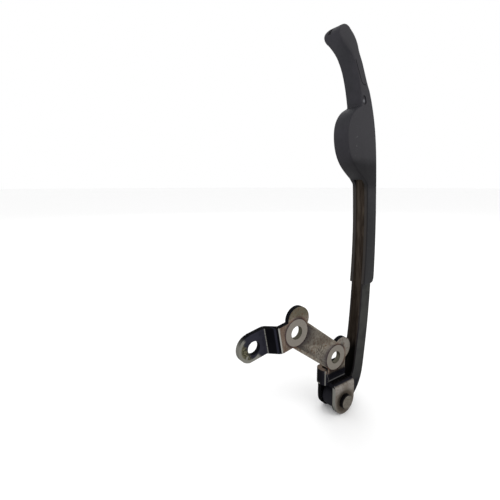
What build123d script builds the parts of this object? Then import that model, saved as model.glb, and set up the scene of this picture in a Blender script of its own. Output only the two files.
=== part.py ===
from build123d import *
import math
import os

# Timing chain guide of a small motorbike engine: a rubber shoe moulded over a
# steel channel, which swings on a pin in a folded sheet steel bracket.
# Millimetres. X points to the chain, Y away from the viewer, Z up along the arm.
# The origin lies midway between the two bolt holes, on the bracket's back face.

# Bracket sheet and its two bolts
plate = 2.5
bolt_spacing = 34.0
bolt_slope = 37.8
bolt_hole = 6.5
seat_d = 13.2
seat_rise = 0.2
web_width = 13.8
corner_r = 2.0

# Lobes that stand up beside the two bolts, measured from each bolt
lobe_r = 6.3
lobe_1_dx = 1.3
lobe_1_dz = 6.1
lobe_2_dx = 4.6
lobe_2_dz = 3.4

# Ear with its own hole, stepped back from the web
ear_dx = 20.0
ear_dz = 4.0
ear_slope = 10.0
ear_width = 12.9
ear_end_past = 1.6
ear_step = 6.0
ear_bend_at = 9.3
ear_bend_run = 4.2

# Pivot pin and the fork that carries it, measured from the lower bolt
pin_d = 7.6
pin_dx = 2.3
pin_dz = 22.9
pin_proud = 2.0
pin_chamfer = 0.4
pin_head_d = 9.2
pin_head = 0.8
pin_fit = 0.05
fork_gap = 8.0
fork_mid = -1.0
front_prong_r = 7.1
fold_past_prong = 2.7
rear_prong_r = 7.0
bend_r = 2.0
tab_right = 5.0
shelf_above_pin = 10.8
wall_above_pin = 8.8
wall_top_above_pin = 16.8

# Steel channel of the arm
channel_width = 7.6
sheet = 1.0
eye_r = 6.2
bush_fit = 0.05
wrap_end = 97.0

# Chain side of the steel, measured from the pin: the foot, then stations with their depth
foot_line = [(7.4, -3.6), (12.4, 1.1), (15.4, 6.5)]
bare_stations = [(17.6, 17.0, 7.0), (19.3, 31.0, 6.8)]
open_stations = [(21.3, 59.3, 6.5), (21.6, 83.0, 5.8), (20.6, 113.0, 5.8)]
closed_stations = [(18.3, 138.0, 5.5), (12.5, 157.8, 3.4)]
end_station = (6.6, 170.0, 3.4)
heel_line = [(5.2, 7.0), (8.7, 10.6)]

# Rubber shoe: its layer on the steel's floor, on its sides and on the rims of its walls
pad_cover = 1.45
side_cover = 1.25
rim_cover = 0.25
open_above_rim = 2.0
pad_end_r = 2.2

# Mould marks on the shoe's near side, measured from the pin
mark = (9.9, 153.2)
mark_length = 4.2
mark_width = 2.0
mark_slope = 105.0
mark_depth = 1.0
seam_line = [(2.9, 170.4), (5.6, 165.0), (7.6, 161.2), (8.9, 160.3), (10.8, 160.2)]
seam_width = 0.4
seam_depth = 0.3

# Curled tip of the shoe, measured from the pin: chain side, its two round corners, then back
tip_chain_side = [(13.2, 159.3), (9.4, 167.1), (5.3, 175.6), (1.4, 181.2), (-2.6, 183.4)]
tip_corner_1 = [(-4.4, 183.7), (-5.5, 183.0)]
tip_corner_2 = [(-7.2, 181.1), (-8.0, 180.0)]
tip_back = [(-7.1, 178.9), (-3.9, 175.8), (1.4, 171.1), (5.0, 164.3), (7.4, 156.0), (8.5, 150.6)]

# Half moon on the shoe's back, where the tensioner pushes, measured from the pin
moon_line = [
    (6.0, 149.2), (1.8, 145.6), (-0.5, 140.6), (-0.8, 135.0), (0.2, 129.4), (2.6, 124.2),
    (6.6, 119.6), (12.0, 115.6),
]


def polar(centre, radius, degrees):
    """A point at a radius and an angle, counted from +X towards +Z."""
    turn = math.radians(degrees)
    return (centre[0] + radius * math.cos(turn), centre[1] + radius * math.sin(turn))


def from_pin(points):
    """Points that were measured from the pin, in the part's own frame."""
    return [(pin[0] + x, pin[1] + z) for x, z in points]


def inward(points, depths):
    """Each point moved square to the line that it is on, towards that line's left."""
    moved = []
    neighbours = zip(points[:1] + points, points, points[1:] + points[-1:], depths)
    for before, here, after, depth in neighbours:
        along = math.degrees(math.atan2(after[1] - before[1], after[0] - before[0]))
        moved.append(polar(here, depth, along + 90))
    return moved


def on_a_lobe(corner):
    """True for a corner of the web's outline that lies on the edge of a lobe."""
    away = [math.dist((corner.X, corner.Z), lobe) for lobe in (lobe_1, lobe_2)]
    return min(away) < lobe_r + tiny


def upright(y):
    """The plane of the bracket's faces at one depth, drawn in X and Z."""
    return Plane.XZ.offset(-y)


# Places that follow from the sizes
tiny = 0.001
half_span = bolt_spacing / 2
bolt_1 = polar((0, 0), half_span, 180 - bolt_slope)
bolt_2 = polar((0, 0), half_span, -bolt_slope)
lobe_1 = (bolt_1[0] + lobe_1_dx, bolt_1[1] + lobe_1_dz)
lobe_2 = (bolt_2[0] + lobe_2_dx, bolt_2[1] + lobe_2_dz)
ear_hole = (bolt_1[0] - ear_dx, bolt_1[1] - ear_dz)
pin = (bolt_2[0] + pin_dx, bolt_2[1] - pin_dz)
front_face = -plate
fork_front = fork_mid - fork_gap / 2
fork_rear = fork_mid + fork_gap / 2
shelf_left = pin[0] - front_prong_r
shelf_right = pin[0] + front_prong_r
fold_left = shelf_left - fold_past_prong
tab_right_x = pin[0] + tab_right
shelf_top = pin[1] + shelf_above_pin
bend_top = shelf_top + bend_r
wall_foot = pin[1] + wall_above_pin
wall_top = pin[1] + wall_top_above_pin

# Bracket: one sheet steel stamping with ear, web, seats, lobes and folded fork
ear_turn = 180 + ear_slope
ear_end = ear_dx + ear_end_past
ear_plane = Plane(
    origin=(bolt_1[0], 0, bolt_1[1]),
    x_dir=Vector(1, 0, 0).rotate(Axis.Y, -ear_turn),
    z_dir=Vector(0, 0, 1).rotate(Axis.Y, -ear_turn),
)
ear_centre = (ear_hole[0] - ear_end_past, ear_hole[1])
ear_r = ear_width / 2
with BuildPart() as bracket:
    # Web, lobes and the tab that runs down to the fork
    with BuildSketch(upright(0)) as web:
        with Locations(Location((0, 0, 0), (0, 0, -bolt_slope))):
            SlotCenterToCenter(bolt_spacing, web_width)
        with Locations(lobe_1, lobe_2):
            Circle(lobe_r)
        with Locations(Location((*bolt_1, 0), (0, 0, ear_turn))):
            Rectangle(ear_bend_at, ear_width, align=(Align.MIN, Align.CENTER))
        with BuildLine():
            Polyline(
                (tab_right_x, shelf_top),
                (tab_right_x, bolt_2[1]),
                (fold_left + bend_r, bolt_2[1]),
                (fold_left + bend_r, shelf_top),
                close=True,
            )
        make_face()
        fillet(web.vertices().sort_by(Axis.X)[:4].sort_by(Axis.Z)[1], corner_r)
        fillet(web.vertices().filter_by(on_a_lobe), corner_r)
    extrude(amount=plate)
    # Ear, stepped back from the web by two bends
    with BuildSketch(ear_plane):
        with BuildLine():
            FilletPolyline(
                (ear_bend_at - plate, -plate / 2),
                (ear_bend_at, -plate / 2),
                (ear_bend_at + ear_bend_run, ear_step - plate / 2),
                (ear_end + ear_width, ear_step - plate / 2),
                radius=bend_r,
            )
        trace(line_width=plate)
    extrude(amount=ear_r, both=True)
    with BuildSketch(upright(ear_step)):
        with Locations(Location((*ear_centre, 0), (0, 0, ear_turn))):
            Rectangle(2 * ear_width, 2 * ear_width, align=(Align.MIN, Align.CENTER))
            Circle(ear_r, mode=Mode.SUBTRACT)
    extrude(amount=ear_step, both=True, mode=Mode.SUBTRACT)
    # Shelf that steps forward to the front prong
    with BuildSketch(Plane.YZ.offset(shelf_left)):
        with BuildLine():
            FilletPolyline(
                (-plate / 2, bend_top),
                (-plate / 2, shelf_top - plate / 2),
                (fork_front - plate / 2, shelf_top - plate / 2),
                (fork_front - plate / 2, pin[1]),
                radius=bend_r,
            )
        trace(line_width=plate)
    extrude(amount=shelf_right - shelf_left)
    # Behind the prong the shelf is only as wide as the tab, clear of the arm
    with BuildSketch(Plane.XY.offset(bend_top)):
        with Locations((tab_right_x, fork_front)):
            Rectangle(shelf_right - tab_right_x, -fork_front, align=(Align.MIN, Align.MIN))
    extrude(amount=-shelf_above_pin, mode=Mode.SUBTRACT)
    with BuildSketch(upright(fork_front)):
        with Locations(pin):
            Circle(front_prong_r)
    extrude(amount=plate)
    # Left edge folded back round a bend, and the rear prong that it carries
    with BuildSketch(Plane.XY.offset(wall_foot)):
        with BuildLine():
            FilletPolyline(
                (pin[0], -plate / 2),
                (fold_left + plate / 2, -plate / 2),
                (fold_left + plate / 2, fork_rear + plate / 2),
                (pin[0] + rear_prong_r, fork_rear + plate / 2),
                radius=bend_r,
            )
        trace(line_width=plate)
    extrude(amount=wall_top - wall_foot)
    with BuildSketch(upright(fork_rear + plate)):
        with Locations(pin):
            Circle(rear_prong_r)
            Rectangle(2 * rear_prong_r, wall_above_pin, align=(Align.CENTER, Align.MIN))
    extrude(amount=plate)
    # Bolt seats raised on the front face
    with BuildSketch(upright(front_face)):
        with Locations(bolt_1, bolt_2):
            Circle(seat_d / 2)
    extrude(amount=seat_rise)
    # Bolt holes, ear hole and pin holes
    with BuildSketch(upright(ear_step)):
        with Locations(bolt_1, bolt_2, ear_hole):
            Circle(bolt_hole / 2)
        with Locations(pin):
            Circle(pin_d / 2 + pin_fit)
    extrude(amount=ear_step + plate + fork_gap, both=True, mode=Mode.SUBTRACT)
bracket.part.label = "bracket"

# Pivot pin: turned steel, proud of the front prong, its rear end peened over
pin_front = fork_front - plate - pin_proud
pin_rear = fork_rear + plate
with BuildPart() as pivot_pin:
    with BuildSketch(upright(pin_front)):
        with Locations(pin):
            Circle(pin_d / 2)
    extrude(amount=pin_front - pin_rear)
    chamfer(pivot_pin.edges().filter_by(GeomType.CIRCLE).sort_by(Axis.Y)[0], pin_chamfer)
    with BuildSketch(upright(pin_rear)):
        with Locations(pin):
            Circle(pin_head_d / 2)
    extrude(amount=-pin_head)
    chamfer(pivot_pin.edges().filter_by(GeomType.CIRCLE).sort_by(Axis.Y)[-1], pin_chamfer)
pivot_pin.part.label = "pivot_pin"

# Steel channel: folded sheet, open at the back, its floor wrapped round the pivot
eye_foot = polar(pin, eye_r, -90)
eye_top = polar(pin, eye_r, wrap_end)
inner_r = eye_r - sheet
stations = bare_stations + open_stations + closed_stations + [end_station]
front_line = [eye_foot] + from_pin(foot_line) + from_pin([(x, z) for x, z, depth in stations])
first_station = len(front_line) - len(stations)
depths = [sheet] * first_station + [depth for x, z, depth in stations]
floor_line = inward(front_line, [sheet] * len(front_line))
back_line = inward(front_line, depths)[first_station:]
with BuildPart() as arm_channel:
    with BuildSketch(upright(fork_mid)):
        with Locations(pin):
            Circle(eye_r)
        with BuildLine():
            Spline(front_line)
            Line(front_line[-1], back_line[-1])
            Spline([eye_top] + from_pin(heel_line) + back_line)
            Line(eye_top, eye_foot)
        make_face()
    extrude(amount=channel_width / 2, both=True)
    # Inside of the fold, open towards the back
    with BuildSketch(upright(fork_mid)):
        with BuildLine():
            Spline(floor_line)
            Polyline(
                floor_line[-1],
                (fold_left, floor_line[-1][1]),
                (fold_left, pin[1] + shelf_above_pin),
                polar(pin, shelf_above_pin, wrap_end),
                pin,
                floor_line[0],
            )
        make_face()
    extrude(amount=channel_width / 2 - sheet, both=True, mode=Mode.SUBTRACT)
    with BuildSketch(upright(fork_mid)):
        with Locations(pin):
            Circle(inner_r)
    extrude(amount=channel_width / 2, both=True, mode=Mode.SUBTRACT)
arm_channel.part.label = "arm_channel"

# Pivot bush: steel tube held in the channel's eye, running on the pin
with BuildPart() as pivot_bush:
    with BuildSketch(upright(fork_mid)):
        with Locations(pin):
            Circle(inner_r)
            Circle(pin_d / 2 + bush_fit, mode=Mode.SUBTRACT)
    extrude(amount=channel_width / 2, both=True)
pivot_bush.part.label = "pivot_bush"

# Rubber shoe: moulded round the channel, solid over the half moon and the tip
shoe_width = channel_width + 2 * side_cover
shoe_foot = first_station + len(bare_stations)
shoe_close = shoe_foot + len(open_stations)
pad_top = shoe_close + len(closed_stations)
pad_line = inward(front_line, [-pad_cover] * len(front_line))[shoe_foot:pad_top]
rim_line = inward(front_line, [depth + rim_cover for depth in depths])[shoe_foot:shoe_close]
open_line = inward(front_line, [sheet / 2] * len(front_line))[first_station:shoe_close]
tip_front_line = from_pin(tip_chain_side)
tip_end_1, tip_end_2 = from_pin(tip_corner_1), from_pin(tip_corner_2)
tip_back_line = from_pin(tip_back)
open_top = open_line[-1][1] + open_above_rim
moon_points = from_pin(moon_line)
with BuildPart() as guide_shoe:
    with BuildSketch(upright(fork_mid)) as shoe_side:
        with BuildLine():
            Spline(pad_line)
            Line(pad_line[-1], tip_front_line[0])
            Spline(tip_front_line)
            ThreePointArc(tip_front_line[-1], *tip_end_1)
            Line(tip_end_1[-1], tip_end_2[0])
            ThreePointArc(*tip_end_2, tip_back_line[0])
            Spline(tip_back_line)
            Line(tip_back_line[-1], moon_points[0])
            Spline(moon_points)
            Line(moon_points[-1], rim_line[-1])
            Spline(rim_line)
            Line(rim_line[0], pad_line[0])
        make_face()
        fillet(shoe_side.vertices().sort_by(Axis.Z)[:2].sort_by(Axis.X)[-1], pad_end_r)
    extrude(amount=shoe_width / 2, both=True)
    add(arm_channel.part, mode=Mode.SUBTRACT)
    # Open back, from the foot of the shoe up to the half moon
    with BuildSketch(upright(fork_mid)):
        with BuildLine():
            Spline(open_line)
            Polyline(
                open_line[-1],
                (open_line[-1][0], open_top),
                (fold_left, open_top),
                (fold_left, open_line[0][1]),
                open_line[0],
            )
        make_face()
    extrude(amount=channel_width / 2 - sheet, both=True, mode=Mode.SUBTRACT)
    # Oval mark of the mould's locating pin, and the seam that ends the pad
    near_side = fork_mid - shoe_width / 2
    with BuildSketch(upright(near_side)):
        with Locations(Location((pin[0] + mark[0], pin[1] + mark[1], 0), (0, 0, mark_slope))):
            SlotOverall(mark_length, mark_width)
    extrude(amount=-mark_depth, mode=Mode.SUBTRACT)
    with BuildSketch(upright(near_side)):
        with BuildLine():
            Polyline(from_pin(seam_line))
        trace(line_width=seam_width)
    extrude(amount=-seam_depth, mode=Mode.SUBTRACT)
guide_shoe.part.label = "guide_shoe"

os.makedirs("parts", exist_ok=True)
for piece in (bracket, pivot_pin, arm_channel, pivot_bush, guide_shoe):
    export_step(piece.part, "parts/" + piece.part.label + ".step")
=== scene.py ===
import math

import bmesh
import bpy
import numpy as np
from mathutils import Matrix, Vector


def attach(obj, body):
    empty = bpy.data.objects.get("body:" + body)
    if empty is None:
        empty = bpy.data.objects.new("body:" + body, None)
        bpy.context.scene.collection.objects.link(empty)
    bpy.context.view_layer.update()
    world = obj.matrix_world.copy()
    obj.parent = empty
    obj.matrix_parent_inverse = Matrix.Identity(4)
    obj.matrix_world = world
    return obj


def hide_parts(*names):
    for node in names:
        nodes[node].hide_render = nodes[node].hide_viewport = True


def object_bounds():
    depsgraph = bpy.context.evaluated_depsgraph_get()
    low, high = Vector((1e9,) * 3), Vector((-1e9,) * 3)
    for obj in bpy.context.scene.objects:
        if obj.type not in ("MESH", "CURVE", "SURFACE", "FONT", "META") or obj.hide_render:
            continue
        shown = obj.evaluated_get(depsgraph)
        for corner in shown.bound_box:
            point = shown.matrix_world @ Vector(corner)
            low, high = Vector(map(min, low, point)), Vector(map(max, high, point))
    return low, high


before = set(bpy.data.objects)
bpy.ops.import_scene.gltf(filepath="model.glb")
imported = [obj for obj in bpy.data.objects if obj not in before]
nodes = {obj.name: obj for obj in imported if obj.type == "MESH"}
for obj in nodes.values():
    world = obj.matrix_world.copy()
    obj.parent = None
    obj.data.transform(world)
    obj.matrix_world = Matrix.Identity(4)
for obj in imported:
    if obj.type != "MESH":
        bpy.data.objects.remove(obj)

cad_box = [list(corner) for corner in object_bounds()]


# Camera: close in front of the bracket and well to its left, as the guide
# was photographed, with the wide lens and the framing of that picture.
camera = bpy.data.objects.new("camera", bpy.data.cameras.new("camera"))
bpy.context.scene.collection.objects.link(camera)
bpy.context.scene.camera = camera
camera.location = (-0.11451, -0.12132, 0.08030)
camera.rotation_euler = (math.radians(81.89), 0, math.radians(-37.55))
camera.data.lens = 25.16
camera.data.sensor_width = 36
camera.data.shift_x = -0.0605
camera.data.shift_y = -0.0355
camera.data.clip_start = 0.005


# Studio: a pale round floor just under the fork, in a white and even room, with
# a weak broad lamp above the front, one at the left and one behind.
def srgb(red, green, blue):
    """A colour read off a screen, 0 to 255, as Blender's linear colour."""
    shares = np.array([red, green, blue]) / 255
    linear = np.where(shares < 0.04045, shares / 12.92, ((shares + 0.055) / 1.055) ** 2.4)
    return (*linear.tolist(), 1)


def pale_floor(radius, rings, spokes):
    """Rings of points about the origin, each ring further out by the square of its share."""
    out = radius * np.linspace(0, 1, rings + 1)[1:] ** 2
    turn = np.linspace(0, 2 * np.pi, spokes, endpoint=False)
    x, y = out[:, None] * np.cos(turn), out[:, None] * np.sin(turn)
    z = np.full(x.shape, cad_box[0][2])
    points = np.vstack([[0, 0, cad_box[0][2]], np.stack([x, y, z], -1).reshape(-1, 3)])
    here = np.arange(spokes)
    after = (here + 1) % spokes
    faces = [(0, 1 + a, 1 + b) for a, b in zip(here, after)]
    for ring in range(rings - 1):
        low, high = 1 + ring * spokes, 1 + (ring + 1) * spokes
        faces += [(low + a, high + a, high + b, low + b) for a, b in zip(here, after)]
    mesh = bpy.data.meshes.new("floor")
    mesh.from_pydata(points.tolist(), [], [tuple(int(i) for i in face) for face in faces])
    return mesh


floor = bpy.data.objects.new("floor", pale_floor(8, 12, 96))
bpy.context.scene.collection.objects.link(floor)
floor_paint = bpy.data.materials.new("floor_paint")
floor_paint.use_nodes = True
paint = floor_paint.node_tree.nodes["Principled BSDF"]
paint.inputs["Base Color"].default_value = srgb(250, 250, 250)
paint.inputs["Roughness"].default_value = 0.9
floor.data.materials.append(floor_paint)

for name, place, aim, size, power in (
    ("key_lamp", (0.1, -0.8, 0.85), (0, 0, 0.05), 0.6, 2.5),
    ("side_lamp", (-0.9, -0.35, 0.35), (0, 0, 0.05), 0.5, 1.0),
    ("back_lamp", (0.5, 0.8, 0.6), (0, 0, 0.05), 0.6, 1.5),
):
    lamp = bpy.data.lights.new(name, "AREA")
    lamp.size = size
    lamp.energy = power
    holder = bpy.data.objects.new(name, lamp)
    bpy.context.scene.collection.objects.link(holder)
    holder.location = place
    towards = np.array(aim) - np.array(place)
    flat = math.hypot(towards[0], towards[1])
    holder.rotation_euler = (math.atan2(flat, -towards[2]), 0, math.atan2(-towards[0], towards[1]))

room = bpy.data.worlds.new("room")
room.use_nodes = True
room.node_tree.nodes["Background"].inputs["Color"].default_value = (1, 1, 1, 1)
room.node_tree.nodes["Background"].inputs["Strength"].default_value = 1.0
bpy.context.scene.world = room
bpy.context.scene.view_settings.view_transform = "Standard"


# Bracket: one stamping of 2.5 mm sheet steel. Its black oxide is left on the
# ear, the bends and the cut edges. The web, the bolt seats and the front prong
# are rubbed bare, with oil stains. The sharp edges of the bends carry pale lines,
# part wear and part painted highlight, and the fork and lower tab carry painted shade.
class Wire:
    """A socket in an expression. Its operators add Math nodes, and numbers mix in."""

    def __init__(self, finish, socket):
        self.finish, self.socket = finish, socket

    def maths(self, operation, *others):
        inputs = dict(enumerate((self, *others)))
        return self.finish.add("ShaderNodeMath", {"operation": operation}, inputs)

    def __add__(self, other):
        return self.maths("ADD", other)

    def __sub__(self, other):
        return self.maths("SUBTRACT", other)

    def __mul__(self, other):
        return self.maths("MULTIPLY", other)

    def __pow__(self, other):
        return self.maths("POWER", other)

    def __neg__(self):
        return self.maths("MULTIPLY", -1)

    def __rsub__(self, other):
        return -self + other

    __radd__, __rmul__ = __add__, __mul__

    def least(self, other):
        return self.maths("MINIMUM", other)

    def most(self, other):
        return self.maths("MAXIMUM", other)

    def size(self):
        return self.maths("ABSOLUTE")

    def ramp(self, start, end):
        """0 at start and 1 at end, with a soft turn at each."""
        inputs = {"Value": self, "From Min": start, "From Max": end}
        return self.finish.add("ShaderNodeMapRange", {"interpolation_type": "SMOOTHSTEP"}, inputs)

    def band(self, middle, reach):
        """1 about middle, falling to 0 at reach on either side of it."""
        return (self - middle).size().ramp(reach, reach * 0.4)


class Finish:
    """A material in the making, with its places in millimetres on the piece."""

    def __init__(self, name):
        self.material = bpy.data.materials.new(name)
        self.material.use_nodes = True
        self.tree = self.material.node_tree
        self.shader = self.tree.nodes["Principled BSDF"]
        texture = self.tree.nodes.new("ShaderNodeTexCoord")
        metres = Wire(self, texture.outputs["Object"])
        in_mm = {0: metres, "Scale": 1000}
        self.place = self.add("ShaderNodeVectorMath", {"operation": "SCALE"}, in_mm)
        self.x, self.y, self.z = self.parts(self.place)
        self.facing = self.parts(Wire(self, texture.outputs["Normal"]))

    def add(self, kind, settings, inputs, output=0):
        """Any node: its settings first, then the values or links of its sockets."""
        node = self.tree.nodes.new(kind)
        for name, value in settings.items():
            setattr(node, name, value)
        for name, value in inputs.items():
            if isinstance(value, Wire):
                self.tree.links.new(value.socket, node.inputs[name])
            else:
                node.inputs[name].default_value = value
        return Wire(self, node.outputs[output])

    def parts(self, vector):
        split = self.add("ShaderNodeSeparateXYZ", {}, {0: vector})
        return [Wire(self, socket) for socket in split.socket.node.outputs]

    def noise(self, scale, detail=3, rough=0.55, stretch=(1, 1, 1)):
        """Cloudy noise about 0.5, with scale in turns a millimetre."""
        stretched = {0: self.place, 1: stretch}
        where = self.add("ShaderNodeVectorMath", {"operation": "MULTIPLY"}, stretched)
        inputs = {"Vector": where, "Scale": scale, "Detail": detail, "Roughness": rough}
        return self.add("ShaderNodeTexNoise", {}, inputs)

    def blend(self, share, first, second):
        """First colour where share is 0, second where it is 1."""
        settings = {"data_type": "RGBA"}
        return self.add("ShaderNodeMix", settings, {"Factor": share, 6: first, 7: second}, output=2)

    def away(self, centre):
        """Distance in millimetres from a line along Y through centre, in X and Z."""
        across, up = self.x - centre[0], self.z - centre[1]
        return (across * across + up * up) ** 0.5

    def feed(self, fixed, **varying):
        """Numbers set on the shader's own sockets, and links for what varies."""
        for name, value in fixed.items():
            self.shader.inputs[name].default_value = value
        for name, wire in varying.items():
            socket = self.shader.inputs[name.replace("_", " ").title()]
            self.tree.links.new(wire.socket, socket)

    def bump(self, height, depth_mm, strength=1.0):
        """A Bump node whose height of 1 stands depth_mm proud."""
        inputs = {"Height": height, "Distance": depth_mm / 1000, "Strength": strength}
        return self.add("ShaderNodeBump", {}, inputs)


# In degrees: an edge that turns more is sharp, and faces that turn less are one flat
sharp_from, flat_within = 35, 0.6


def softened(node, name, width_mm, slots, weigh=lambda x, y, z: 1.0):
    """The node's own solid, its points merged and its flat faces made whole. Its sharp
    outer edges are rounded by width_mm times weigh(x, y, z) of their middles in mm, and
    the rounded strips take the last of the material slots."""
    cad = nodes[node].data
    points = np.empty(len(cad.vertices) * 3)
    cad.vertices.foreach_get("co", points)
    corners = np.empty(len(cad.loops), int)
    cad.loops.foreach_get("vertex_index", corners)
    mesh = bpy.data.meshes.new(name)
    mesh.from_pydata(points.reshape(-1, 3).tolist(), [], corners.reshape(-1, 3).tolist())
    solid = bmesh.new()
    solid.from_mesh(mesh)
    weights = solid.edges.layers.float.new("bevel_weight_edge")
    bmesh.ops.remove_doubles(solid, verts=solid.verts, dist=1e-6)
    bmesh.ops.dissolve_limit(
        solid, angle_limit=math.radians(flat_within), verts=solid.verts, edges=solid.edges,
        use_dissolve_boundaries=False)
    edges = list(solid.edges)
    turns = np.array([edge.calc_face_angle_signed(0) for edge in edges])
    middles = np.array([(edge.verts[0].co + edge.verts[1].co) / 2 * 1000 for edge in edges])
    shares = np.where(turns > math.radians(sharp_from), weigh(*middles.T), 0)
    for edge, share in zip(edges, shares.tolist()):
        edge[weights] = share
    solid.to_mesh(mesh)
    solid.free()
    mesh.shade_smooth()
    piece = bpy.data.objects.new(name, mesh)
    bpy.context.scene.collection.objects.link(piece)
    bevel = piece.modifiers.new("rounded_edges", "BEVEL")
    bevel.width = width_mm / 1000
    bevel.segments = 3
    bevel.limit_method = "WEIGHT"
    bevel.miter_outer = "MITER_ARC"
    bevel.use_clamp_overlap = True
    bevel.material = slots - 1
    bevel.harden_normals = True
    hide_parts(node)
    return piece


# Places on it as X and Z in mm, then distances along the ear from bolt 1
bolt_1, bolt_2 = (-13.43, 10.42), (13.43, -10.42)
ear_centre = (-35.03, 6.42)
pin_axis = (15.73, -33.32)
web_smudge, web_foot = (2.0, -2.8), (8.5, -16.5)
seat_radius = 6.6
ear_way = (-0.985, -0.174)
web_end, step_start, step_end, ear_start = 9.4, 9.6, 13.6, 14.1


def bracket_edges(x, y, z):
    """The seats stand only 0.2 mm proud, so their rims are rounded least."""
    away_1, away_2 = (np.hypot(x - bolt[0], z - bolt[1]) for bolt in (bolt_1, bolt_2))
    at_rim = np.abs(np.minimum(away_1, away_2) - seat_radius) < 0.2
    return np.where(at_rim & (y < -2.4), 0.25, 1.0)


def bracket_steel(name, edges):
    """Black oxide, with bare worn steel laid over it where the masks say."""
    steel = Finish(name)
    cloud = steel.noise(0.16, 5, 0.62)
    grain = steel.noise(1.1, 4, 0.6)
    fine = steel.noise(5.5, 2, 0.5)
    ragged = (cloud - 0.5) * 6 + (grain - 0.5) * 2
    front = (-steel.facing[1]).ramp(0.6, 0.9)
    rear = steel.facing[1].ramp(0.6, 0.9)

    # Distance along the ear from bolt 1, the rings about the bolts, and the tab
    along = (steel.x - bolt_1[0]) * ear_way[0] + (steel.z - bolt_1[1]) * ear_way[1]
    ring = steel.away(bolt_1).least(steel.away(bolt_2))
    seat = ring.ramp(seat_radius + 0.1, seat_radius - 0.2) * front
    rim = ring.ramp(6.3, 6.7) * (ring + (grain - 0.5) * 2).ramp(8.6, 7.0) * front
    tab_low = (steel.z + ragged * 0.15).ramp(-17.2, -18.8)

    # Bare areas: web and lobes in front, the front prong, the engine's side of the seats
    web_bare = along.ramp(web_end, web_end - 0.4) * (1 - tab_low) * front * steel.y.ramp(-4, -3.5)
    prong = steel.y.ramp(-6.4, -7.2) * (-steel.facing[1]).ramp(0.25, 0.6)
    worn_rear = (ring + ragged * 0.3).ramp(8.4, 6.8) * rear * steel.y.ramp(0.4, 0.2)
    bare = web_bare.most(prong).most(seat).most(worn_rear * 0.8)

    # Bare steel: warm grey with brown bloom, lighter on the seats and the right lobe
    grey = steel.blend(cloud.ramp(0.38, 0.66), srgb(134, 128, 118), srgb(115, 108, 98))
    grey = steel.blend(grain.ramp(0.44, 0.64) * 0.6, grey, srgb(84, 74, 63))
    grey = steel.blend(steel.noise(2.3, 3, 0.6).ramp(0.56, 0.7) * 0.5, grey, srgb(138, 133, 125))
    lobe_2_pale = (steel.x + ragged * 0.2).ramp(13.5, 17.5) * steel.z.ramp(-12, -8)
    grey = steel.blend(lobe_2_pale * 0.8, grey, srgb(128, 124, 118))
    lobe_1_stain = (steel.z + ragged * 0.4).ramp(15.5, 19.5) * steel.x.ramp(-2, -6)
    grey = steel.blend(lobe_1_stain * 0.8, grey, srgb(86, 81, 67))
    brown = (along + ragged * 0.25).ramp(4.6, 7.4) * 0.6
    foot = steel.away(web_foot) + ragged * 0.5
    brown = brown.most(foot.ramp(4.2, 1.4) * grain.ramp(0.3, 0.6) * 0.8)
    brown = brown.most(rim * cloud.ramp(0.3, 0.55) * 0.75)
    grey = steel.blend(brown * (1 - seat), grey, srgb(90, 68, 56))
    rust = steel.noise(0.75, 5, 0.7).ramp(0.52, 0.62) * cloud.ramp(0.36, 0.5)
    grey = steel.blend(rust * (1 - seat) * 0.75, grey, srgb(88, 66, 52))
    rust_ring = ring.band(seat_radius + 0.35, 0.5) * grain.ramp(0.3, 0.5)
    grey = steel.blend(rust_ring * 0.7, grey, srgb(98, 74, 62))
    smudge = (steel.away(web_smudge) + ragged * 0.7).ramp(4.2, 1.2) * grain.ramp(0.35, 0.6)
    grey = steel.blend(smudge * 0.75, grey, srgb(62, 58, 54))
    worn = steel.blend(fine.ramp(0.35, 0.7) * 0.5, srgb(126, 121, 114), srgb(108, 102, 94))
    grey = steel.blend(seat * 0.9, grey, worn)

    # Front prong: pale above, oil brown about the pin
    about_pin = (steel.away(pin_axis) + ragged * 0.4).ramp(7.6, 4.8)
    prong_grey = steel.blend(cloud.ramp(0.42, 0.62), srgb(136, 131, 125), srgb(114, 107, 99))
    prong_grey = steel.blend(grain.ramp(0.54, 0.7) * 0.7, prong_grey, srgb(92, 74, 60))
    prong_grey = steel.blend(about_pin * 0.9, prong_grey, srgb(70, 63, 54))
    grey = steel.blend(prong, grey, prong_grey)

    # Oxide: blue black on the ear, blackest on the step and the cut edges; the near black on the
    # fork and the darker lower tab are painted shade
    on_ear = along.ramp(ear_start - 0.2, ear_start + 0.3) * front
    oxide = steel.blend(cloud.ramp(0.4, 0.62), srgb(36, 36, 44), srgb(47, 47, 55))
    oxide = steel.blend(grain.ramp(0.56, 0.8) * 0.5, oxide, srgb(58, 57, 58))
    step = along.ramp(step_start - 0.4, step_start) * along.ramp(ear_start, step_end)
    fork_painted_shade = steel.z.ramp(-25, -26.5)
    shelf = steel.facing[2].ramp(0.75, 0.95) * steel.z.ramp(-20, -21)
    cut = steel.facing[1].size().ramp(0.5, 0.3)
    low_tab_shade = steel.z.ramp(-14.5, -16.5)
    oxide = steel.blend(cut * 0.85, oxide, srgb(14, 15, 16))
    # Painted shade: the lower tab darkened, and the fork near black
    oxide = steel.blend(low_tab_shade * 0.7, oxide, srgb(22, 21, 25))
    oxide = steel.blend(step.most(fork_painted_shade) * 0.92, oxide, srgb(7, 7, 9))
    near_black = steel.blend(grain.ramp(0.45, 0.65), srgb(16, 15, 16), srgb(36, 32, 29))
    oxide = steel.blend(shelf * 0.9, oxide, near_black)
    oxide = steel.blend(along.band(10.9, 0.45) * step * 0.6, oxide, srgb(46, 47, 58))

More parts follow.
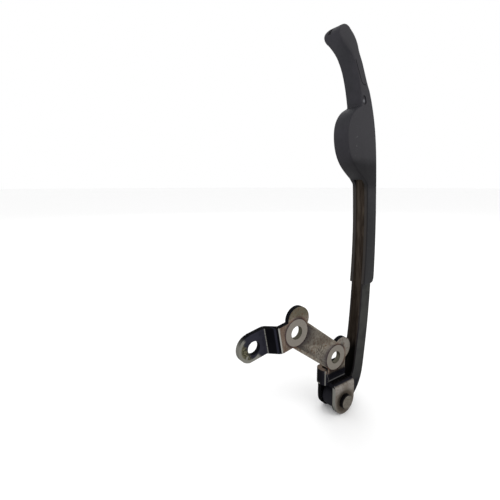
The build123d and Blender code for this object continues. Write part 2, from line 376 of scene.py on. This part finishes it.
    # Ear: olive oil stain left of its hole, a pale band round its end and a rubbed streak
    ear_x, ear_z = steel.x - ear_centre[0], steel.z - ear_centre[1]
    ear_ring = steel.away(ear_centre)
    leftward = ear_x + ear_z * 0.5 + (grain - 0.5) * 3 + (cloud - 0.5) * 2
    stain = leftward.ramp(-1.4, -3.2) * on_ear
    speckled = steel.blend(grain.ramp(0.42, 0.58), srgb(110, 106, 86), srgb(66, 64, 50))
    oxide = steel.blend(stain * 0.85, oxide, speckled)
    low_side = (ear_x * 0.75 + ear_z * 0.66 + ragged * 0.25).ramp(1.4, -0.4)
    pale_band = (ear_ring + (grain - 0.5) * 0.5).ramp(4.7, 5.3) * low_side * on_ear
    streak = (ear_x * 0.9 - ear_z * 0.42 + ragged * 0.06).band(-0.4, 0.8)
    streak = streak * ear_z.ramp(-2.6, -3.2) * on_ear
    rubbed_end = cut * along.ramp(23.5, 26.5) * (1 - steel.facing[2].ramp(0.3, 0.7) * 0.6)
    pale = (pale_band * 0.85).most(rubbed_end * 0.8).most(streak * 0.8)
    oxide = steel.blend(pale, oxide, srgb(130, 129, 122))

    # Olive film in the bolt holes, and a painted highlight on the upward top of the fold beside the
    # tab
    bore = ring.ramp(3.7, 3.3) * (1 - cloud.ramp(0.5, 0.6) * 0.3)
    oxide = steel.blend(bore * 0.9, oxide, srgb(92, 89, 78))
    fold_top_highlight = steel.facing[2].ramp(0.4, 0.8) * steel.z.band(-16.5, 1.6) * steel.x.ramp(11, 9)
    oxide = steel.blend(fold_top_highlight * 0.8, oxide, srgb(104, 92, 82))
    colour = steel.blend(bare, oxide, grey)

    # Pale lines, part wear and part painted highlight: both bends of the ear, the fold
    # beside the tab, the front prong's left side, the shelf's root and the foot of the wall
    toward, left, up = -steel.facing[1], -steel.facing[0], steel.facing[2]
    ridge = along.band(web_end + 0.02, 0.4) * toward.ramp(0.2, 0.5)
    second = along.band(ear_start - 0.3, 0.2) * toward.ramp(0.2, 0.5)
    fold = toward.band(0.72, 0.09) * steel.z.ramp(-15, -16) * steel.x.ramp(9.5, 8.5)
    side = left.ramp(0.7, 0.9) * steel.y.ramp(-5.2, -5.7) * steel.z.ramp(-24, -25)
    root = up.band(0.5, 0.3) * steel.z.ramp(-20, -21) * steel.y.ramp(-4.4, -4.0)
    ledge = left.ramp(0.6, 0.9) * steel.z.band(-24.3, 0.5) * steel.y.ramp(1, 1.5)
    wear_and_highlight_lines = (second * 0.5).most(root * 0.22) * grain.ramp(0.25, 0.5)
    wear_and_highlight_lines = wear_and_highlight_lines.most(ridge).most(fold * 0.4).most(side * 0.5).most(ledge * 0.6)
    shine = 0.5 - seat * 0.1 + (grain - 0.5) * 0.22 + stain * 0.12
    if edges:
        # The rounded edges: pale along the web's foot, the left lobe and the prong, part rubbed
        # wear and part painted highlight
        rubbed_and_highlit_edges = along.ramp(web_end, web_end - 0.6) * toward.ramp(0.1, 0.5) * 0.4
        lobe_edge = left.ramp(0.2, 0.5) * steel.z.ramp(9, 11) * steel.y.ramp(-2, -2.2)
        fork_edge = steel.x.ramp(9.4, 8.8) * steel.y.ramp(-2.6, -3.2) * 0.4
        foot_line = (-up).ramp(0.2, 0.6) * steel.z.ramp(-23, -24) * steel.x.ramp(12, 9) * 0.7
        rubbed_and_highlit_edges = rubbed_and_highlit_edges.most(lobe_edge).most(fork_edge).most(foot_line)
        wear_and_highlight_lines = wear_and_highlight_lines.most(rubbed_and_highlit_edges * grain.ramp(0.25, 0.5))
    colour = steel.blend(wear_and_highlight_lines, colour, srgb(160, 159, 152))
    height = cloud * 0.5 + grain * 0.35 + fine * 0.15
    dull = {"Specular IOR Level": 0.12, "Specular Tint": (0.25, 0.25, 0.27, 1), "Metallic": 0.85}
    steel.feed(dull, base_color=colour, roughness=shine, normal=steel.bump(height, 0.06))
    return steel.material


bracket = softened("bracket", "bracket_stamping", 0.3, 2, bracket_edges)
bracket.data.materials.append(bracket_steel("bracket_steel", edges=False))
bracket.data.materials.append(bracket_steel("bracket_edge_steel", edges=True))
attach(bracket, "bracket_body")


# Pivot pin: turned steel. Its proud end face is rubbed grey and faintly ringed by
# the lathe, its side is near black, and its far end is peened into a low head.
def pin_steel(name):
    """Concentric turning marks on the ends, near black on the side."""
    steel = Finish(name)
    grain = steel.noise(1.3, 4, 0.6)
    cloud = steel.noise(0.4, 3, 0.5)
    out = steel.away(pin_axis)
    end = steel.facing[1].size().ramp(0.7, 0.95)
    rings = (out * 9 + cloud * 2).maths("SINE")
    bare = steel.blend(grain.ramp(0.4, 0.65), srgb(103, 98, 89), srgb(84, 78, 69))
    near_black = steel.blend(grain.ramp(0.45, 0.7), srgb(12, 10, 11), srgb(26, 24, 24))
    colour = steel.blend(end, near_black, bare)
    steel.feed({"Specular IOR Level": 0.15, "Metallic": 0.75}, base_color=colour,
               roughness=0.42 + grain * 0.2, normal=steel.bump(rings * 0.3 + grain, 0.03))
    return steel.material


pin = softened("pivot_pin", "pivot_pin_turned", 0.12, 1)
pin.data.materials.append(pin_steel("pin_steel"))
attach(pin, "bracket_body")


# Arm channel: dark steel sheet folded to a U. Outside it is smooth and charcoal
# with a dull sheen, and inside it is stained brown by hot engine oil. The inside
# turns near black down the hollow and the skin near black between the prongs,
# both painted shade.
def channel_steel(name, edges):
    """Charcoal skin, brown inside the fold, with fine streaks along the arm."""
    steel = Finish(name)
    cloud = steel.noise(0.12, 4, 0.6)
    grain = steel.noise(1.4, 4, 0.6)
    streak = steel.noise(0.9, 4, 0.6, (1, 1, 0.12))
    inside = (steel.y + 1).size().ramp(2.95, 2.8) * steel.facing[0].ramp(0.5, 0.2)
    inside = inside * steel.z.ramp(-27.5, -26)
    skin = steel.blend(cloud.ramp(0.38, 0.64), srgb(57, 57, 55), srgb(46, 46, 46))
    skin = steel.blend(grain.ramp(0.55, 0.8) * 0.5, skin, srgb(60, 57, 54))
    spots = steel.noise(0.5, 2, 0.4).ramp(0.7, 0.76)
    skin = steel.blend(spots * 0.8, skin, srgb(16, 15, 18))
    inside_oil_and_shade = steel.blend(streak.ramp(0.36, 0.66), srgb(74, 66, 58), srgb(54, 46, 40))
    # Painted shade: the inside of the hollow turns near black towards the fork
    inside_oil_and_shade = steel.blend(steel.z.ramp(-5, -13) * 0.95, inside_oil_and_shade, srgb(9, 9, 8))
    # Darker towards the bottom, then near black between the prongs as painted shade
    skin = steel.blend(steel.z.ramp(2, -26) * 0.6, skin, srgb(40, 40, 40))
    skin = steel.blend(steel.z.ramp(-25, -28) * 0.85, skin, srgb(22, 22, 28))
    rim = (-steel.facing[0]).ramp(0.5, 0.8) * (1 - inside) * steel.z.ramp(-24, -21)
    skin = steel.blend(rim * 0.8, skin, srgb(30, 26, 29))
    colour = steel.blend(inside, skin, inside_oil_and_shade)
    if edges:
        colour = steel.blend(grain.ramp(0.42, 0.62) * (1 - rim) * 0.3, colour, srgb(66, 60, 60))
    dull = {"Specular IOR Level": 0.1, "Specular Tint": (0.4, 0.4, 0.4, 1), "Metallic": 0.5}
    steel.feed(dull, base_color=colour, roughness=0.5 + (grain - 0.5) * 0.25,
               normal=steel.bump(streak * 0.5 + grain * 0.5, 0.05))
    return steel.material


channel = softened("arm_channel", "arm_channel_steel", 0.2, 2)
channel.data.materials.append(channel_steel("channel_steel", edges=False))
channel.data.materials.append(channel_steel("channel_edge_steel", edges=True))
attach(channel, "arm_body")


# Pivot bush: a plain steel tube pressed into the channel's eye. It runs on the pin
# and ends flush with the eye, so the prongs hide it.
def bush_steel(name):
    """Bright drawn tube with a fine grain."""
    steel = Finish(name)
    grain = steel.noise(1.5, 4, 0.6)
    colour = steel.blend(grain.ramp(0.4, 0.7), srgb(118, 114, 108), srgb(84, 79, 73))
    steel.feed({"Metallic": 0.85}, base_color=colour, roughness=0.34 + grain * 0.15,
               normal=steel.bump(grain, 0.02))
    return steel.material


bush = softened("pivot_bush", "pivot_bush_tube", 0.1, 1)
bush.data.materials.append(bush_steel("bush_steel"))
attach(bush, "arm_body")


# Guide shoe: black rubber moulded round the channel. It is matt charcoal, a
# little greyer on the broad sides, and its edges round off more and more up the
# curled tip. It carries an oval pin mark and a seam by the tip, with a painted
# shadow under the half moon and painted highlights in the mark and along its edge.
shoe_mid, shoe_half = -1.0, 5.05
outline_step = 0.4
tip_start, tip_full, tip_growth = 135.0, 141.0, 1.0
slot_half, slot_foot, slot_top = 2.85, 24.0, 81.7
edge_radius, slot_edge_radius, tip_radius = 0.8, 0.35, 2.3
mark_at, mark_lean = (25.63, 119.88), math.radians(105)
mark_radius, mark_stretch, mark_depth = 1.35, 0.8, 0.5
seam_half, seam_depth = 0.2, 0.3
nick_at, nick_near, nick_far = (10.2, 148.0), -0.6, 1.4


def side_outline(node):
    """The edge of the node's flat far side, in order: X and Z in mm, inside on the left."""
    solid = bmesh.new()
    solid.from_mesh(nodes[node].data)
    bmesh.ops.remove_doubles(solid, verts=solid.verts, dist=1e-6)
    bmesh.ops.dissolve_limit(
        solid, angle_limit=math.radians(flat_within), verts=solid.verts, edges=solid.edges,
        use_dissolve_boundaries=False)
    side = max(solid.faces, key=lambda face: face.calc_area() * face.normal.y)
    outline = np.array([vertex.co[:] for vertex in side.verts])[::-1, [0, 2]] * 1000
    solid.free()
    return outline


def even_steps(outline, step):
    """The closed outline again, as points one step apart along it."""
    closed = np.vstack([outline, outline[:1]])
    run = np.concatenate([[0], np.cumsum(np.hypot(*np.diff(closed, axis=0).T))])
    here = np.linspace(0, run[-1], int(run[-1] / step), endpoint=False)
    return np.stack([np.interp(here, run, closed[:, i]) for i in (0, 1)], -1)


def eased(columns, reach):
    """Each row blended with its neighbours round the loop, by a bell curve of reach rows."""
    span = 3 * reach
    bell = np.exp(-0.5 * (np.arange(-span, span + 1) / reach) ** 2)
    padded = np.concatenate([columns[-span:], columns, columns[:span]])
    return np.stack([np.convolve(column, bell / bell.sum(), "valid") for column in padded.T], -1)


def rise(values, start, end):
    """0 up to start and 1 from end on, by the smooth cubic between them."""
    share = np.clip((values - start) / (end - start), 0, 1)
    return share * share * (3 - 2 * share)


def left_of(outline):
    """The unit arrows to the left of the loop's way, which is inwards."""
    ahead = np.roll(outline, -1, 0) - np.roll(outline, 1, 0)
    arrows = eased(np.stack([-ahead[:, 1], ahead[:, 0]], -1), 1)
    return arrows / np.hypot(*arrows.T)[:, None]


def rounded_slab(outline, middle, half, radii):
    """The outline carried across Y from middle - half to middle + half. Over the last
    radius at each side it draws in by radius * (1 - cos) while Y goes by radius * sin."""
    inward = left_of(outline)
    turn = np.radians([90, 72, 54, 36, 18, 0])[:, None]
    drawn = radii * (1 - np.cos(turn))
    wide = half - radii * (1 - np.sin(turn))
    drawn, y = np.vstack([drawn, drawn[::-1]]), middle + np.vstack([-wide, wide[::-1]])
    flat = outline + inward * drawn[..., None]
    return np.stack([flat[..., 0], y, flat[..., 1]], -1)


def tube_faces(rings, steps):
    """Quads between neighbouring rings of a closed tube, and one face over each end."""
    here = np.arange(steps)
    after = (here + 1) % steps
    low = np.arange(rings - 1)[:, None] * steps
    quads = np.stack([low + here, low + steps + here, low + steps + after, low + after], -1)
    ends = [list(range(steps)), list(range(rings * steps - 1, (rings - 1) * steps - 1, -1))]
    return quads.reshape(-1, 4).tolist() + ends


def closed_mesh(name, grids):
    """One mesh of closed tubes, each a grid of rings by steps by X, Y and Z in mm."""
    mesh = bpy.data.meshes.new(name)
    solid = bmesh.new()
    for grid in grids:
        part = bpy.data.meshes.new(name)
        part.from_pydata((grid.reshape(-1, 3) / 1000).tolist(), [], tube_faces(*grid.shape[:2]))
        solid.from_mesh(part)
        bpy.data.meshes.remove(part)
    bmesh.ops.recalc_face_normals(solid, faces=solid.faces)
    solid.to_mesh(mesh)
    solid.free()
    return mesh


def prism(outline, near, far):
    """The flat outline in X and Z carried straight along Y from near to far."""
    points = np.asarray(outline, float)
    return np.stack([np.insert(points, 1, y, axis=1) for y in (near, far)])


# The outline, with the pad's lower front corner well rounded and the tip a little fuller
outline = even_steps(side_outline("guide_shoe"), outline_step)
at_tip = rise(outline[:, 1:], tip_start + 3, tip_full + 4)
pad_foot = rise(-outline[:, 1:], -31, -28) * rise(outline[:, :1], 33, 36)
outline = outline + (eased(outline, 6) - outline) * pad_foot
outline = eased(outline, 1) + (eased(outline, 3) - eased(outline, 1)) * at_tip
outline = even_steps(outline, outline_step)
fuller = tip_growth * rise(outline[:, 1:], tip_start + 3, tip_full + 4)
outline = outline - left_of(outline) * fuller

# How far its edges round off: least beside the open back, most at the tip, and
# never so much that the outline would cross itself where it bends
ahead = np.roll(outline, -1, 0) - outline
heading = np.arctan2(ahead[:, 1], ahead[:, 0])
turned = np.angle(np.exp(1j * (heading - np.roll(heading, 1))))
bend = eased((turned / outline_step)[:, None], 1)[:, 0]
open_back = rise(-ahead[:, 1], 0, 0.2) * (1 - rise(outline[:, 1], 81, 83))
radii = edge_radius - (edge_radius - slot_edge_radius) * open_back
radii = radii + (tip_radius - edge_radius) * rise(outline[:, 1], tip_start, tip_full)
radii = np.minimum(radii, 0.5 / np.maximum(bend, 0.01))
radii = np.min([np.roll(radii, shift) for shift in range(-5, 6)], 0)
radii = eased(radii[:, None], 2)[:, 0]
body = closed_mesh("guide_shoe_rubber", [rounded_slab(outline, shoe_mid, shoe_half, radii)])

# What is left open in it: the channel's back, the oval mark, the seam and a nick in the end
slot_z = np.linspace(slot_foot, slot_top, 24)
slot_floor = np.polyfit((25.98, 49.68, 79.68), (36.53, 36.83, 35.83), 2)
slot = np.stack([np.polyval(slot_floor, slot_z), slot_z], -1)
slot = np.vstack([slot, [(5, slot_top), (5, slot_foot)]])
around = np.radians(np.linspace(0, 360, 28, endpoint=False))
oval = np.stack([np.cos(around), np.sin(around)], -1) * mark_radius
oval[:, 0] += np.sign(np.cos(around)) * mark_stretch
cosine, sine = math.cos(mark_lean), math.sin(mark_lean)
oval = mark_at + oval @ np.array([(cosine, sine), (-sine, cosine)])
seam = np.array(
    [(18.63, 137.08), (21.33, 131.68), (23.33, 127.88), (24.63, 126.98), (26.53, 126.88)])
run = np.gradient(seam, axis=0)
across = run[:, ::-1] * (-seam_half, seam_half) / np.hypot(*run.T)[:, None]
seam = np.vstack([seam + across, (seam - across)[::-1]])
nick = nick_at + np.array([(-1.8, -2.05), (-3.66, -0.38), (-0.72, 2.9), (1.14, 1.23)])
near_side = shoe_mid - shoe_half
hollows = closed_mesh("shoe_hollows", [
    prism(slot, shoe_mid - slot_half, shoe_mid + slot_half),
    prism(oval, near_side - 1, near_side + mark_depth),
    prism(seam, near_side - 1, near_side + seam_depth),
    prism(nick, nick_near, nick_far),
])


def carved(body, hollows):
    """The body with the hollows taken out of it, and its sharp edges left sharp."""
    solid, cutter = (bpy.data.objects.new(mesh.name, mesh) for mesh in (body, hollows))
    bpy.context.scene.collection.objects.link(solid)
    bpy.context.scene.collection.objects.link(cutter)
    cut = solid.modifiers.new("hollows", "BOOLEAN")
    cut.object = cutter
    cut.operation = "DIFFERENCE"
    cut.solver = "EXACT"
    worked_out = solid.evaluated_get(bpy.context.evaluated_depsgraph_get())
    mesh = bpy.data.meshes.new_from_object(worked_out)
    bpy.data.objects.remove(cutter)
    solid.modifiers.clear()
    solid.data = mesh
    mesh.shade_smooth()
    mesh.set_sharp_from_angle(angle=math.radians(32))
    return solid


def shoe_rubber(name):
    """Matt black rubber with fine mould grain and faint bloom, with a painted shadow and painted
    highlights.
    """
    rubber = Finish(name)
    cloud = rubber.noise(0.09, 4, 0.6)
    patchy = rubber.noise(0.45, 4, 0.6)
    grain = rubber.noise(3.2, 3, 0.6)
    side = (-rubber.facing[1]).ramp(0.5, 0.9)
    black = rubber.blend(cloud.ramp(0.36, 0.66), srgb(44, 43, 48), srgb(37, 37, 41))
    black = rubber.blend(rubber.z.ramp(112, 86) * 0.8, black, srgb(28, 27, 31))
    flank = rubber.blend(rubber.z.ramp(50, 112), srgb(30, 30, 31), srgb(50, 49, 52))
    black = rubber.blend(side * 0.8, black, flank)
    black = rubber.blend(patchy.ramp(0.52, 0.78) * 0.3, black, srgb(58, 58, 60))

    # Dark rims beside the open back, blackest at the near side, and a painted shadow across the
    # half moon's foot
    rim = (-rubber.facing[0]).ramp(0.3, 0.6) * rubber.z.ramp(81, 79.5)
    rim_black = rubber.blend(rubber.y.ramp(-5.1, -5.6), srgb(44, 40, 37), srgb(20, 19, 20))
    black = rubber.blend(rim * 0.85, black, rim_black)
    moon_foot_shadow = (rubber.z + (cloud - 0.5) * 8).band(84, 9)
    black = rubber.blend(moon_foot_shadow * 0.9, black, srgb(17, 16, 19))

    # Painted highlights: a pale point in the oval mark, and a pale dotted line along the half
    # moon's edge
    mark_highlight = rubber.away((mark_at[0] + 0.27, mark_at[1] - 0.28))
    black = rubber.blend(mark_highlight.ramp(1.0, 0.5) * side, black, srgb(96, 96, 100))
    moon_edge_highlight = rubber.noise(1.6, 2, 0.5).ramp(0.66, 0.74) * side
    moon_edge_highlight = moon_edge_highlight * (rubber.x + (cloud - 0.5) * 3).band(20.5, 1.1) * rubber.z.band(103, 12)
    black = rubber.blend(moon_edge_highlight * 0.7, black, srgb(112, 112, 114))
    rubber.feed({"Specular IOR Level": 0.15}, base_color=black,
                roughness=0.62 + (patchy - 0.5) * 0.2,
                normal=rubber.bump(grain * 0.6 + patchy * 0.4, 0.07))
    return rubber.material


shoe = carved(body, hollows)
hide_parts("guide_shoe")
shoe.data.materials.append(shoe_rubber("shoe_rubber"))
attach(shoe, "arm_body")
